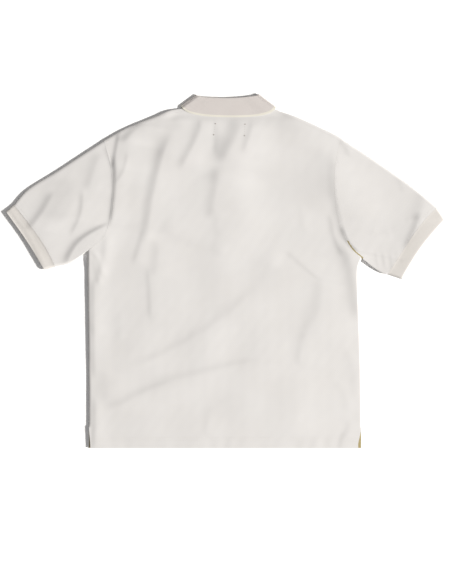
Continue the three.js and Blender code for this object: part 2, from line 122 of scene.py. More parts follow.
# Creases of the upper layer. Each crest runs from, via and to a point, and stands as high as
# rise. It falls away over shade on the side that faces away from the window and over lit on
# the other side.
creaseColumns = "fromX fromY viaX viaY toX toY rise shade lit".split()
creases = [
    # the fold over the left armhole
    (-216, 292, -225, 248, -231, 206, 3.0, 7, 70),
    (-226, 248, -226, 168, -236, 84, 4.6, 8.5, 50),
    (-243, 84, -250, 25, -264, -40, 1.4, 10, 17),
    (-199, 250, -208, 208, -229, 176, 1.4, 7, 60),
    (-250, 260, -242, 238, -234, 212, 1.0, 4, 40),
    (-194, 296, -200, 240, -224, 176, 2.4, 27, 50),
    # the left shoulder
    (-158, 308, -184, 291, -210, 262, 4.6, 13, 42),
    (-82, 336, -94, 318, -104, 302, 0.9, 10, 18),
    # down the left of the back
    (-110, 292, -142, 180, -164, 44, 4.6, 18, 90),
    (-82, 312, -104, 286, -132, 230, 1.2, 16, 80),
    (-98, 300, -124, 240, -140, 150, 0.7, 22, 60),
    (-164, 250, -174, 150, -184, 40, 2.2, 28, 60),
    (-164, 94, -174, 56, -189, 8, 1.5, 9, 24),
    (-138, 68, -137, 25, -143, -20, 1.6, 16, 40),
    (-158, 12, -154, -50, -152, -110, 1.3, 8, 30),
    (-214, -80, -216, -114, -219, -150, 0.4, 12, 14),
    # out of the neck
    (-40, 322, -54, 280, -92, 204, 3.6, 15, 60),
    (-60, 306, -38, 309, -12, 309, 0.8, 6, 12),
    (-15, 322, -14, 282, -16, 236, 1.5, 8, 40),
    (38, 322, 28, 282, -4, 218, 6.2, 27, 80),
    (16, 290, 9, 236, -8, 170, 3.0, 34, 90),
    (-11, 224, -15, 168, -29, 100, 2.8, 17, 90),
    (-17, 132, -13, 100, -11, 66, 0.8, 12, 40),
    (60, 320, 55, 290, 39, 240, 1.7, 9, 60),
    (98, 320, 94, 272, 86, 206, 1.8, 46, 140),
    (28, 256, 24, 190, 20, 112, 0.5, 44, 30),
    # across the middle
    (-140, 96, -60, 62, 10, 40, 1.7, 14, 30),
    (-34, 44, 50, 28, 126, 10, 1.8, 11, 40),
    (130, 46, 156, 20, 207, -24, 1.5, 7, 50),
    (208, -6, 200, -80, 168, -148, 2.8, 27, 60),
    (174, -124, 160, -160, 158, -204, 1.5, 13, 46),
    (160, -180, 148, -250, 136, -370, 2.4, 150, 56),
    # the long slanting ones below
    (98, -12, -25, -117, -202, -214, 1.8, 16, 50),
    (94, -182, -20, -208, -130, -237, 2.6, 14, 50),
    (-93, -225, -165, -254, -240, -294, 2.6, 14, 44),
    (-14, -276, -31, -304, -36, -350, 0.8, 13, 30),
    # the roll down the left side and its dents
    (-270, -10, -271, -80, -271, -140, 1.8, 8, 23),
    (-270, -104, -270, -170, -268, -230, 1.8, 8, 36),
    (-268, -256, -268, -310, -270, -380, 1.8, 8, 21),
    (-240, -204, -240, -240, -243, -272, 0.8, 22, 30),
    # the left armpit
    (-280, 47, -264, 24, -255, -14, 1.4, 6, 9),
    (-275, 30, -267, 2, -261, -32, 0.9, 6, 8),
    # the right armhole and side
    (188, 332, 200, 240, 212, 110, 7.0, 90, 110),
    (212, 262, 221, 196, 231, 136, 1.8, 28, 110),
    (230, 256, 231, 170, 257, 58, 2.8, 15, 110),
    (222, 122, 230, 72, 252, 22, 1.6, 9, 40),
    (241, 68, 266, 10, 283, -114, 4.4, 20, 45),
    (161, 140, 163, 108, 167, 76, 0.4, 10, 14),
    (258, -156, 270, -215, 274, -276, 0.8, 14, 16),
    (231, -220, 254, -262, 263, -302, 0.7, 14, 30),
    (263, -308, 259, -330, 251, -350, 1.0, 12, 26),
    (251, -334, 245, -354, 241, -376, 1.0, 8, 30),
    (434, 330, 442, 180, 440, -60, 13.0, 190, 60),
    # the right armpit
    (246, 96, 260, 62, 287, 34, 4.0, 9, 90),
    # the left sleeve and its cuff
    (-350, 170, -373, 126, -408, 78, 4.0, 14, 120),
    (-250, 250, -271, 204, -280, 158, 2.4, 17, 50),
    (-293, 172, -297, 118, -320, 68, 2.0, 9, 60),
    (-394, 80, -352, 104, -300, 116, 0.9, 38, 15),
    (-332, 2, -300, 60, -230, 102, 5.4, 11, 60),
    (-298, 194, -310, 148, -336, 92, 3.6, 44, 80),
    (-464, 152, -414, 86, -357, -14, 2.8, 8, 60),
    # the right sleeve
    (422, 180, 417, 146, 402, 96, 3.2, 24, 90),
    (410, 126, 397, 88, 376, 40, 3.2, 12, 90),
    (372, 107, 393, 108, 414, 107, 0.5, 4, 9),
    (362, 22, 378, 23, 394, 22, 0.6, 4, 8),
    (314, 40, 316, 24, 319, 6, 0.35, 5, 7),
    (328, 42, 331, 22, 334, 2, 0.4, 5, 7),
    (345, 38, 347, 20, 348, 0, 0.4, 5, 7),
    (358, 44, 356, 28, 352, 12, 0.3, 5, 7),
    (300, 86, 322, 74, 347, 84, 0.5, 11, 15),
    (365, 192, 369, 176, 373, 160, 0.7, 8, 30),
    (244, 272, 257, 252, 266, 232, 1.6, 10, 30),
]
# The hidden front has a few of its own
frontCreases = [
    (-120, 220, -150, 120, -170, 10, 0.6, 12, 22),
    (140, 190, 160, 80, 190, -30, 0.6, 12, 22),
    (-60, -60, 40, -120, 150, -170, 0.5, 10, 24),
]
crease = {
    "light": (0.98, -0.199),  # towards the window, in plan
    "steps": 13,  # points along each crest
    "across": 0.35,  # share of its run from which a crest counts as across the light
    "taper": 0.22,  # share of its length over which each end fades
    "steepness": 1.5,
}

# Soft unevenness: how high and how long the waves are, how many, and the seed of their places
waves = {
    "broad": {"height": 0.25, "length": 90, "count": 16, "seed": 3},
    "fine": {"height": 0.03, "length": 28, "count": 16, "seed": 5},
    "hem": {"height": 0.07, "length": 34, "count": 9, "seed": 41},
    "collar": {"height": 0.15, "length": 48, "count": 16, "seed": 21},
}


def smooth(t):
    t = np.clip(t, 0, 1)
    return t * t * (3 - 2 * t)


def mix(a, b, t):
    return a + (b - a) * t


# Rows of shares end to end, each starting where the last one stops
def joined(*rows):
    return np.concatenate([rows[0], *(row[1:] for row in rows[1:])])


def lengthAlong(points):
    steps = np.linalg.norm(np.diff(points, axis=0), axis=-1)
    return np.concatenate([[0], np.cumsum(steps)])


coords = partial(np.stack, axis=-1)  # makes points of rows of x, y and z


# Curves are functions that take shares from 0 to 1 and give points in plan
def through(points, count=240):
    knots = np.array(points, float)
    last = len(knots) - 1
    t = np.linspace(0, last, count + 1)
    i = np.minimum(t.astype(int), last - 1)
    f = (t - i)[:, None]
    p0, p1, p2, p3 = (knots[np.clip(i + k, 0, last)] for k in (-1, 0, 1, 2))
    line = 0.5 * (2 * p1 + (p2 - p0) * f + (2 * p0 - 5 * p1 + 4 * p2 - p3) * f**2
                  + (3 * p1 - p0 - 3 * p2 + p3) * f**3)
    along = lengthAlong(line)
    along /= along[-1]
    return lambda s: coords([np.interp(s, along, line[:, k]) for k in (0, 1)])


def backwards(curve):
    return lambda s: curve(1 - np.asarray(s, float))


def straight(a, b):
    return lambda s: a + (b - a) * np.asarray(s, float)[..., None]


def chain(*parts):
    def curve(s):
        s = np.asarray(s, float)
        out = np.zeros(s.shape + (2,))
        start = 0
        for part, until in parts:
            share = np.clip((s - start) / (until - start), 0, 1)
            out = np.where(((s >= start) & (s <= until + 1e-9))[..., None], part(share), out)
            start = until
        return out
    return curve


def neckline(drop):
    def curve(s):
        angle = math.pi * (1 - np.asarray(s, float))
        return coords([neck["centre"] + neck["halfWidth"] * np.cos(angle),
                       neck["top"] - drop * np.sin(angle)])
    return curve


def anchored(curve, start, end):
    def moved(s):
        s = np.asarray(s, float)
        t = s[..., None]
        return curve(s) + (start - curve(0.0)) * (1 - t) + (end - curve(1.0)) * t
    return moved


def movedOut(curve, distance, out):
    def moved(s):
        s = np.asarray(s, float)
        along = curve(np.clip(s + 0.01, 0, 1)) - curve(np.clip(s - 0.01, 0, 1))
        along /= np.linalg.norm(along, axis=-1, keepdims=True)
        return curve(s) + distance * out * coords([-along[..., 1], along[..., 0]])
    return moved


curves = {side: {name: through(points) for name, points in edges[side].items()} for side in sides}


# A surface in plan between four edges
def patch(start, end, low, high):
    a, b, c, d = start(0.0), start(1.0), end(0.0), end(1.0)

    def plan(u, v):
        p, q = u[..., None], v[..., None]
        return ((1 - q) * start(u) + q * end(u) + (1 - p) * low(v) + p * high(v)
                - (1 - q) * ((1 - p) * a + p * b) - q * ((1 - p) * c + p * d))
    return plan


# Distance from a line of points, the share along it, and whether it is to the left of its way
def nearest(x, y, line):
    best = np.full(x.shape, 1e9)
    share, isLeft = np.zeros_like(x), np.zeros(x.shape, bool)
    for i in range(len(line) - 1):
        (ax, ay), (bx, by) = line[i], line[i + 1]
        wayX, wayY = bx - ax, by - ay
        t = np.clip(((x - ax) * wayX + (y - ay) * wayY) / (wayX**2 + wayY**2), 0, 1)
        dx, dy = x - ax - t * wayX, y - ay - t * wayY
        distance = np.hypot(dx, dy)
        closer = distance < best
        best = np.where(closer, distance, best)
        share = np.where(closer, (i + t) / (len(line) - 1), share)
        isLeft = np.where(closer, wayX * dy > wayY * dx, isLeft)
    return best, share, isLeft


# What shows is the slope along the light, so a crest that runs across it is measured that way
def creaseHeight(x, y, rows):
    total = np.zeros_like(x)
    wayX, wayY = crease["light"]
    along, across = x * wayX + y * wayY, y * wayX - x * wayY
    shares = np.linspace(0, 1, crease["steps"])
    for values in rows:
        row = dict(zip(creaseColumns, values))
        line = through([(row[end + "X"], row[end + "Y"]) for end in ("from", "via", "to")])(shares)
        lineAlong, lineAcross = line @ (wayX, wayY), line @ (-wayY, wayX)
        turn = abs(lineAcross[-1] - lineAcross[0]) / np.linalg.norm(line[-1] - line[0])
        if turn > crease["across"]:
            order = np.argsort(lineAcross)
            centre = np.interp(across, lineAcross[order], lineAlong[order])
            share = np.interp(across, lineAcross[order], shares[order])
            distance, isLit = np.abs(along - centre) * turn, along > centre
        else:
            distance, share, isLeft = nearest(x, y, line)
            isLit = isLeft == (lineAcross[-1] < lineAcross[0])
        t = distance / np.where(isLit, row["lit"], row["shade"])
        taper = smooth(share / crease["taper"]) * smooth((1 - share) / crease["taper"])
        fall = np.exp(-crease["steepness"] * t * t)
        total += cloth["relief"] * row["rise"] * fall * taper
    return total


def ripple(x, y, kind):
    wave = waves[kind]
    draw = np.random.default_rng(wave["seed"])
    total = np.zeros_like(x)
    for _ in range(wave["count"]):
        angle, phase = draw.uniform(0, 2 * math.pi, 2)
        length = wave["length"] * draw.uniform(0.7, 1.7)
        total += np.sin(2 * math.pi * (x * math.cos(angle) + y * math.sin(angle)) / length + phase)
    return wave["height"] * (total / math.sqrt(wave["count"] / 2))


frontNeckLine = neckline(neck["frontDrop"])(np.linspace(0, 1, 41))
placketLine = [(neck["centre"], placketTop), (neck["centre"], placketTop - placket["length"])]


# Height of a panel that lies on the floor, but for the collar and the placket under it
def lifted(x, y, neckRamp, placketRamp):
    fromNeck = nearest(x, y, frontNeckLine)[0]
    nearNeck = smooth((collar["plateau"] + neckRamp - fromNeck) / neckRamp)
    inside = (y > placketTop) & (np.abs(x - neck["centre"]) < neck["halfWidth"])
    fromPlacket = nearest(x, y, placketLine)[0]
    nearPlacket = smooth((placket["plateau"] + placketRamp - fromPlacket) / placketRamp)
    return panelLow + frontLift * np.maximum.reduce([nearNeck, inside * 1.0, nearPlacket])


def frontHeight(x, y):
    return lifted(x, y, collar["ramp"], placket["ramp"])


# The back hangs softly over what lifts the front
def backRest(x, y):
    return lifted(x, y, cloth["drape"], cloth["drape"])


# The back's creases fade out under the collar
underCollar = {"fade": 28, "least": 0.1, "from": 14, "over": 16, "beside": 100, "besideOver": 40}


# How high the upper layer stands over the front
def loft(x, y):
    below = neck["top"] - y
    soft = smooth(below / underCollar["fade"]) * (1 - underCollar["least"]) + underCollar["least"]
    fromMiddle = np.abs(x - neck["centre"])
    beside = smooth((fromMiddle - underCollar["beside"]) / underCollar["besideOver"])
    shown = np.maximum(smooth((below - underCollar["from"]) / underCollar["over"]) * soft, beside)
    uneven = ripple(x, y, "broad") + ripple(x, y, "fine")
    high = cloth["loft"] + creaseHeight(x, y, creases) + uneven
    return mix(cloth["layerGap"], np.maximum(high, cloth["leastLoft"]), shown)


def makeMesh(name, points, faces, uv, material):
    mesh = bpy.data.meshes.new(name)
    mesh.from_pydata((points * mm).tolist(), [], faces.tolist())
    layer = mesh.uv_layers.new(name="cloth")
    loops = np.zeros(len(mesh.loops), dtype=np.int32)
    mesh.loops.foreach_get("vertex_index", loops)
    layer.data.foreach_set("uv", (uv[loops] * mm).ravel())
    mesh.materials.append(material)
    soften(mesh)
    return addPiece(mesh)


def soften(mesh):
    mesh.polygons.foreach_set("use_smooth", [True] * len(mesh.polygons))


def addPiece(mesh):
    piece = bpy.data.objects.new(mesh.name, mesh)
    bpy.context.collection.objects.link(piece)
    return piece


# Turns what the modifiers make into a plain mesh
def settle(piece):
    whole = piece.evaluated_get(bpy.context.evaluated_depsgraph_get())
    made = bpy.data.meshes.new_from_object(whole)
    piece.modifiers.clear()
    made.name = piece.name
    piece.data = made


def thicken(piece, wall, segments=2):
    thick = piece.modifiers.new("wall", "SOLIDIFY")
    thick.thickness, thick.offset = wall * mm, 0
    rounded = piece.modifiers.new("rounded", "BEVEL")
    rounded.width, rounded.segments, rounded.limit_method = 0.25 * wall * mm, segments, "ANGLE"
    rounded.angle_limit = math.radians(60)
    piece.modifiers.new("shading", "WEIGHTED_NORMAL").weight = 80
    settle(piece)


def gridFaces(rows, columns, isRing=False):
    i, j = np.meshgrid(np.arange(rows - 1), np.arange(columns - (not isRing)), indexing="ij")
    low, high, k = i * columns, (i + 1) * columns, (j + 1) % columns
    return coords([low + j, low + k, high + k, high + j]).reshape(-1, 4)


# Materials. The knits read the piece's own UV map, in metres along the cloth.
def linear(code):
    channels = [int(code[i:i + 2], 16) / 255 for i in (1, 3, 5)]
    return (*(c / 12.92 if c <= 0.04045 else ((c + 0.055) / 1.055)**2.4 for c in channels), 1.0)


def addNode(tree, kind, settings=None, inputs=None, links=None):
    node = tree.nodes.new(kind)
    for key, value in (settings or {}).items():
        setattr(node, key, value)
    for key, value in (inputs or {}).items():
        node.inputs[key].default_value = value
    for key, (source, output) in (links or {}).items():
        tree.links.new(source.outputs[output], node.inputs[key])
    return node


def startMaterial(name, roughness, sheen=0.0, weight=0.5):
    material = bpy.data.materials.new(name)
    material.use_nodes = True
    tree = material.node_tree
    shader = tree.nodes["Principled BSDF"]
    shader.inputs["Roughness"].default_value = roughness
    shader.inputs["Specular IOR Level"].default_value = weight
    shader.inputs["Sheen Weight"].default_value = sheen
    shader.inputs["Sheen Roughness"].default_value = 0.5
    return material, tree, shader


# Adds what varies the colour from light to deep, and what raises the surface
def finish(tree, shader, light, deep, shade, raised=None, bump=0.0, height=0.0):
    colours = addNode(tree, "ShaderNodeMix", {"data_type": "RGBA"}, {6: light, 7: deep},
                      {0: shade})
    tree.links.new(colours.outputs[2], shader.inputs["Base Color"])
    if raised:
        relief = addNode(tree, "ShaderNodeBump", None, {"Strength": bump, "Distance": height * mm},
                         {"Height": raised})
        tree.links.new(relief.outputs["Normal"], shader.inputs["Normal"])


waveLength = 0.314  # metres from band to band of a wave texture at scale 1

# Cotton pique, combed and washed: matt, with a soft nap and a small waffle that breaks up the
# light. The real cell is about 1.2 mm, drawn at 2.6 mm so that it shows.
# Rib knit of cotton with a little elastane: a shade darker, with a fine grain along each rib.
# The ribs themselves are in the mesh.
ribGrain = {"ways": "Y", "turn": 0, "cell": 1.6, "wander": 1.2, "detail": 4.0, "bump": 0.2,
            "height": 0.2, "patch": 60, "patchDetail": 2.0}
knitLooks = {
    "pique": {"light": "#cdcbca", "deep": "#c8c5c3", "ways": "XY", "turn": 45, "cell": 2.6,
              "wander": 0.6, "detail": 3.0, "bump": 0.25, "height": 0.3, "patch": 90,
              "patchDetail": 3.0},
    # The collar is darker than the cuffs: the rib's own tone with painted shade for a collar that
    # slopes away from the light.
    "collar": {"light": "#c4bfbc", "deep": "#beb7b4", **ribGrain},
    "cuff": {"light": "#c7c3c0", "deep": "#c1bdb8", **ribGrain},
    # The last row of the collar is lighter: its plain knitted finish, with a painted highlight
    # where the edge catches the light.
    "edge": {"light": "#d3cfc5", "deep": "#cdc9be", **ribGrain},
}


def makeKnit(name, look):
    material, tree, shader = startMaterial(name, 0.92, sheen=0.12, weight=0.2)
    along = addNode(tree, "ShaderNodeUVMap", {"uv_map": "cloth"})
    turned = addNode(tree, "ShaderNodeMapping", None,
                     {"Rotation": (0, 0, math.radians(look["turn"]))}, {"Vector": (along, "UV")})
    raised = []
    for way in look["ways"]:
        band = addNode(tree, "ShaderNodeTexWave", {"bands_direction": way},
                       {"Scale": waveLength / (look["cell"] * mm), "Distortion": look["wander"],
                        "Detail Scale": look["detail"]}, {"Vector": (turned, "Vector")})
        raised.append((band, "Fac"))
    if len(raised) == 2:
        waffle = addNode(tree, "ShaderNodeMath", {"operation": "MULTIPLY"},
                         links=dict(enumerate(raised)))
        raised = [(waffle, "Value")]
    patches = addNode(tree, "ShaderNodeTexNoise", None,
                      {"Scale": 1 / (look["patch"] * mm), "Detail": look["patchDetail"]},
                      {"Vector": (along, "UV")})
    finish(tree, shader, linear(look["light"]), linear(look["deep"]), (patches, "Fac"), raised[0],
           look["bump"], look["height"])
    return material


# Painted shade, dark ochre and matt, with slanting lines 1.5 mm apart: the warm shade in the vent
# and armpit gaps
paintedShadeLook = {"light": "#a3966f", "deep": "#948760", "line": 1.5, "bump": 0.3, "height": 0.2}


def makeTwill(name, look):
    material, tree, shader = startMaterial(name, 0.88, weight=0.2)
    where = addNode(tree, "ShaderNodeTexCoord")
    lines = addNode(tree, "ShaderNodeTexWave", {"bands_direction": "DIAGONAL"},
                    {"Scale": waveLength / (look["line"] * mm), "Distortion": 0.4,
                     "Detail Scale": 3.0}, {"Vector": (where, "Object")})
    finish(tree, shader, linear(look["light"]), linear(look["deep"]), (lines, "Fac"),
           (lines, "Fac"), look["bump"], look["height"])
    return material


# Spun polyester thread: a fine twist with a slight gloss
threadLook = {"roughness": 0.6, "weight": 0.4, "darker": 0.82,
              "pattern": {"Scale": 900.0, "Detail": 2.0}}
# Cast polyester resin, tumbled: a soft gloss with faint cloudy swirls
resinLook = {"roughness": 0.28, "weight": 0.5, "ior": 1.55, "darker": 0.88,
             "pattern": {"Scale": 160.0, "Detail": 3.0, "Distortion": 1.5}}
# A painted backdrop, matt and nearly white
backdropLook = {"roughness": 0.95, "weight": 0.1, "deep": "#f9f8f8",
                "pattern": {"Scale": 1.5, "Detail": 2.0}}


def makeClouded(name, look, code):
    material, tree, shader = startMaterial(name, look["roughness"], weight=look["weight"])
    if "ior" in look:
        shader.inputs["IOR"].default_value = look["ior"]
    where = addNode(tree, "ShaderNodeTexCoord")
    clouds = addNode(tree, "ShaderNodeTexNoise", None, look["pattern"],
                     {"Vector": (where, "Object")})
    light = linear(code)
    deep = linear(look["deep"]) if "deep" in look else [look["darker"] * c for c in light[:3]] + [1]
    finish(tree, shader, light, deep, (clouds, "Fac"))
    return material


piqueCloth = makeKnit("cotton_pique_knit", knitLooks["pique"])
# The collar's knit holds painted shade, its last row a painted highlight, and the ochre twill the
# painted shade of the vents and the right armpit
collarShadedKnit = makeKnit("cotton_rib_knit_collar_painted_shade", knitLooks["collar"])
cuffKnit = makeKnit("cotton_rib_knit_cuff", knitLooks["cuff"])
collarEdgeHighlight = makeKnit("cotton_collar_edge_painted_highlight", knitLooks["edge"])
paintedShadeTwill = makeTwill("painted_warm_shade_twill", paintedShadeLook)
seamThread = makeClouded("polyester_thread", threadLook, "#cfcbc6")
labelThread = makeClouded("polyester_thread_taupe", threadLook, "#7a7066")
paleThread = makeClouded("polyester_thread_pale_taupe", threadLook, "#a69c91")
buttonResin = makeClouded("cast_resin_button", resinLook, "#ddd7c9")
print("materials made")


# The panels. Each grid has this many points across each stretch, and a roll at its sewn edges.
grids = {
    "back": {"shoulder": 56, "neck": 50, "hem": 8, "side": 126, "armhole": 74, "roll": 8},
    "front": {"shoulder": 30, "neck": 30, "hem": 4, "side": 60, "armhole": 36, "roll": 4},
}
# How the seams change the panels
seam = {
    "open": 80,  # stands for far, where an edge is open
    "armpitFade": 0.05,
    "neckFade": 0.04,
    "allowance": 9,  # folded towards the body along each armhole
    "allowanceFade": 8,
    "allowanceFrom": 0.03,
    "raise": 0.1,
}


# Shares across a roll of cloth, close together where it is steep
def rollShares(count):
    return 1 - np.cos(np.linspace(0, math.pi / 2, count))


def panelLines(grid):
    strip, top = cloth["roundOver"] / bodyWidth, cloth["roundOver"] / bodyHeight
    hemTop = hem["depth"] / bodyHeight
    roll = rollShares(grid["roll"])
    u = joined(strip * roll,
               np.linspace(strip, corner["neckLeft"], grid["shoulder"]),
               np.linspace(corner["neckLeft"], corner["neckRight"], grid["neck"]),
               np.linspace(corner["neckRight"], 1 - strip, grid["shoulder"]),
               1 - strip * roll[::-1])
    v = joined(np.linspace(0, hemTop, grid["hem"]),
               np.linspace(hemTop, corner["armpit"], grid["side"]),
               np.linspace(corner["armpit"], 1 - top, grid["armhole"]),
               1 - top * roll[::-1])
    return u, v


# Distance to the nearest sewn edge, large where a panel's edge is open
def fromSeam(u, v):
    ventTop = vent["height"] / bodyHeight
    slit = 1 - smooth((v - ventTop) / (vent["fade"] / bodyHeight))
    armhole = smooth((v - corner["armpit"]) / seam["armpitFade"])
    side = np.minimum(u, 1 - u) * bodyWidth + seam["open"] * np.maximum(slit, armhole)
    inNeck = np.minimum(u - corner["neckLeft"], corner["neckRight"] - u)
    shoulder = (1 - v) * bodyHeight + seam["open"] * smooth(inNeck / seam["neckFade"])
    return np.minimum(side, shoulder)


def roundOver(distance, x):
    radius = mix(cloth["roundOver"], cloth["pressed"], smooth(x / cloth["pressedFrom"]))
    t = np.clip(distance / radius, 0, 1)
    return np.sqrt(1 - (1 - t)**2)


def panelPlan(drop, insetLeft, insetRight):
    def sideOf(name, inset):
        whole = chain((curves[name]["side"], corner["armpit"]), (curves[name]["armhole"], 1))

        def moved(v):
            v = np.asarray(v, float)
            shift = inset * (1 - smooth(v * bodyHeight / (vent["height"] + vent["fade"])))
            return whole(v) + coords([shift, np.zeros_like(shift)])
        return moved

    low, high = sideOf("left", insetLeft), sideOf("right", -insetRight)
    top = chain((curves["left"]["shoulder"], corner["neckLeft"]),
                (neckline(drop), corner["neckRight"]),
                (backwards(curves["right"]["shoulder"]), 1))
    return patch(straight(low(0.0), high(0.0)), top, low, high)


# The seam allowance lies on the body's side of each armhole, and the thread of the hem, which
# is of two layers, draws it into small waves
def seamRelief(x, u, v):
    inHem = smooth((hem["depth"] + hem["fade"] / 2 - v * bodyHeight) / hem["fade"])
    band = (hem["raise"] + ripple(x, 0 * x, "hem")) * inHem
    beside = np.minimum(u, 1 - u) * bodyWidth
    alongArmhole = smooth((v - corner["armpit"]) / seam["allowanceFrom"])
    inAllowance = smooth((seam["allowance"] - beside) / seam["allowanceFade"])
    return band + seam["raise"] * inAllowance * alongArmhole


def frontMiddle(x, y, u, v):
    away = fromSeam(u, v)
    turnUp = cloth["edgeLift"] * (1 - roundOver(away, x))
    return frontHeight(x, y) + turnUp + creaseHeight(x, y, frontCreases) * roundOver(away / 3, x)


def backMiddle(x, y, u, v):
    risen = roundOver(fromSeam(u, v), x)
    rest = mix(frontHeight(x, y), backRest(x, y), risen) + cloth["edgeLift"] * (1 - risen)
    return rest + panelStep + risen * (loft(x, y) + seamRelief(x, u, v))


# Points of a panel from shares across and up it
def onPanel(plan, middle, u, v, rise=0.0):
    u, v = np.broadcast_arrays(np.asarray(u, float), np.asarray(v, float))
    flat = plan(u, v)
    x, y = flat[..., 0], flat[..., 1]
    return coords([x, y, middle(x, y, u, v) + rise])


def makePanel(name, grid, plan, middle, isFront):
    points = onPanel(plan, middle, *np.meshgrid(*panelLines(grid)))
    flat = points.reshape(-1, 3)
    piece = makeMesh(name, flat, gridFaces(*points.shape[:2]), flat[:, :2], piqueCloth)
    if isFront:
        cutNotch(piece.data)
        shadeVentEdges(piece.data)
    thicken(piece, cloth["wall"])
    print(name, "made")
    return piece


# The front's edges at the side vents get painted shade, for the warm shade in the gap beside the
# back's edge
def shadeVentEdges(mesh):
    mesh.materials.append(paintedShadeTwill)
    for face in mesh.polygons:
        x, y = face.center.x / mm, face.center.y / mm
        if abs(x) > bodyWidth / 2 - vent["paintedShade"] and y < hemY + vent["height"]:
            face.material_index = 1


# The slit in the front that the placket fills
def cutNotch(mesh):
    half = placket["width"] / 2 + cloth["seamGap"]
    low = placketTop - placket["length"] - 2 * cloth["seamGap"]
    shape = bmesh.new()
    shape.from_mesh(mesh)
    for x, y, way in ((neck["centre"] - half, 0, (1, 0, 0)), (neck["centre"] + half, 0, (1, 0, 0)),
                      (0, low, (0, 1, 0))):
        everything = shape.verts[:] + shape.edges[:] + shape.faces[:]
        bmesh.ops.bisect_plane(shape, geom=everything, plane_co=(x * mm, y * mm, 0), plane_no=way)
    middles = {face: face.calc_center_median() / mm for face in shape.faces}
    inside = [face for face, at in middles.items()
              if abs(at.x - neck["centre"]) < half and at.y > low]
    bmesh.ops.delete(shape, geom=inside, context="FACES")
    shape.to_mesh(mesh)
    shape.free()


backPlan = panelPlan(neck["backDrop"], vent["insetLeft"], vent["insetRight"])
frontPlan = panelPlan(neck["frontDrop"], 0, 0)
back = makePanel("back_panel", grids["back"], backPlan, backMiddle, isFront=False)
front = makePanel("front_panel", grids["front"], frontPlan, frontMiddle, isFront=True)

# The sleeves and their cuffs, flat tubes between a seam and a far end
sleeve = {
    "along": 72,
    "across": 84,
    "roll": 6,
    "width": 205,
    "length": 190,
    "low": 0.6,
    "edge": 1.2,  # sets how high the two layers of a tube meet
    "roundOver": {"left": 6, "right": 3},
    # how wide a band of painted shade runs along the right armhole, and how high it reaches
    "paintedShade": {"width": 2.6, "top": 63},
}
cuff = {
    "ribs": 96,
    "ribFade": 2,
    "rows": 8,
    "depth": 31,
    "roundOver": 5,
    "low": 0.95,
    "step": 0.3,  # down from the sleeve
    "stepFade": 2.5,
    "foldGap": 0.2,
    "fold": {"left": 5, "right": 4},
    "lean": {"left": -1.1, "right": 0.3},
    "lift": {"left": 3.6, "right": 0},
    "inset": {"left": 2, "right": 0},
}


def tubePlan(near, far, top, under):
    return patch(near, far, anchored(top, near(0.0), far(0.0)),
                 anchored(under, near(1.0), far(1.0)))


def sleevePlan(side):
    out, curve = collar[side]["out"], curves[side]
    return tubePlan(movedOut(backwards(curve["armhole"]), cloth["sewnGap"], out),
                    movedOut(curve["cuffSeam"], -cloth["sewnGap"] / 2, out),
                    curve["sleeveTop"], curve["sleeveUnder"])


def cuffPlan(side):
    out, sewn = collar[side]["out"], curves[side]["cuffSeam"]
    edge = movedOut(curves[side]["cuffEdge"], -cuff["inset"][side], out)
    return tubePlan(movedOut(sewn, cloth["sewnGap"] / 2, out), edge,
                    straight(sewn(0.0), edge(0.0)), straight(sewn(1.0), edge(1.0)))


# Shares across and along, w and s, make a ring over the top and back underneath, without
# repeating the two edges
def makeTube(name, plan, w, s, roundness, heights, wall, material):
    around = np.concatenate([w, w[-2:0:-1]])
    isUpper = np.arange(len(around)) < len(w)
    across, along = np.meshgrid(around, s)
    flat = plan(across, along)
    x, y = flat[..., 0], flat[..., 1]
    width = np.linalg.norm(plan(np.zeros_like(s), s) - plan(np.ones_like(s), s), axis=-1)[:, None]
    low, high = heights(x, y, across, along)
    middle = 0.5 * (low + panelLow + panelStep + sleeve["edge"])
    curve = np.clip(np.minimum(across, 1 - across) * width / roundness, 0, 1)
    curve = np.sqrt(1 - (1 - curve)**2)
    z = np.where(isUpper, mix(middle, high, curve), mix(middle, low, curve))
    girth = np.cumsum(np.linalg.norm(np.diff(flat, axis=1, append=flat[:, :1]), axis=-1), axis=1)
    half = np.full(1, 0.5)
    length = np.linalg.norm(plan(half, half * 2) - plan(half, half * 0))
    uv = coords([girth, along * length]).reshape(-1, 2)
    points = coords([x, y, z]).reshape(-1, 3)
    piece = makeMesh(name, points, gridFaces(*x.shape, isRing=True), uv, material)
    shape = bmesh.new()
    shape.from_mesh(piece.data)
    bmesh.ops.recalc_face_normals(shape, faces=shape.faces[:])
    shape.to_mesh(piece.data)
    shape.free()
    thicken(piece, wall)
    print(name, "made")
    return piece


def sleeveHeights(x, y, w, s):
    return np.full_like(x, sleeve["low"]), sleeve["low"] + panelStep + loft(x, y)


# The cuff lies a little lower than the sleeve. Its far edge is a fold, which stands clear of
# the floor on the left and is pressed flat on the right
def cuffHeights(side, x, y, w, s):
    fromEdge = (1 - s) * cuff["depth"]
    ribs = rib["depth"] * np.cos(2 * math.pi * w * cuff["ribs"])
    ribs = ribs * smooth(fromEdge / cuff["ribFade"])
    high = panelLow + panelStep + loft(x, y) - (rib["wall"] - cloth["wall"]) / 2
    high = high - cuff["step"] * smooth(s * cuff["depth"] / cuff["stepFade"])
    risen = cuff["lift"][side] * s**2
    high = high + cuff["lean"][side] * s + risen
    t = np.clip(fromEdge / cuff["fold"][side], 0, 1)
    folded = cuff["low"] + risen + rib["wall"] + cuff["foldGap"]
    return cuff["low"] + risen - ribs * 0.5, mix(folded, high, np.sqrt(1 - (1 - t)**2)) + ribs


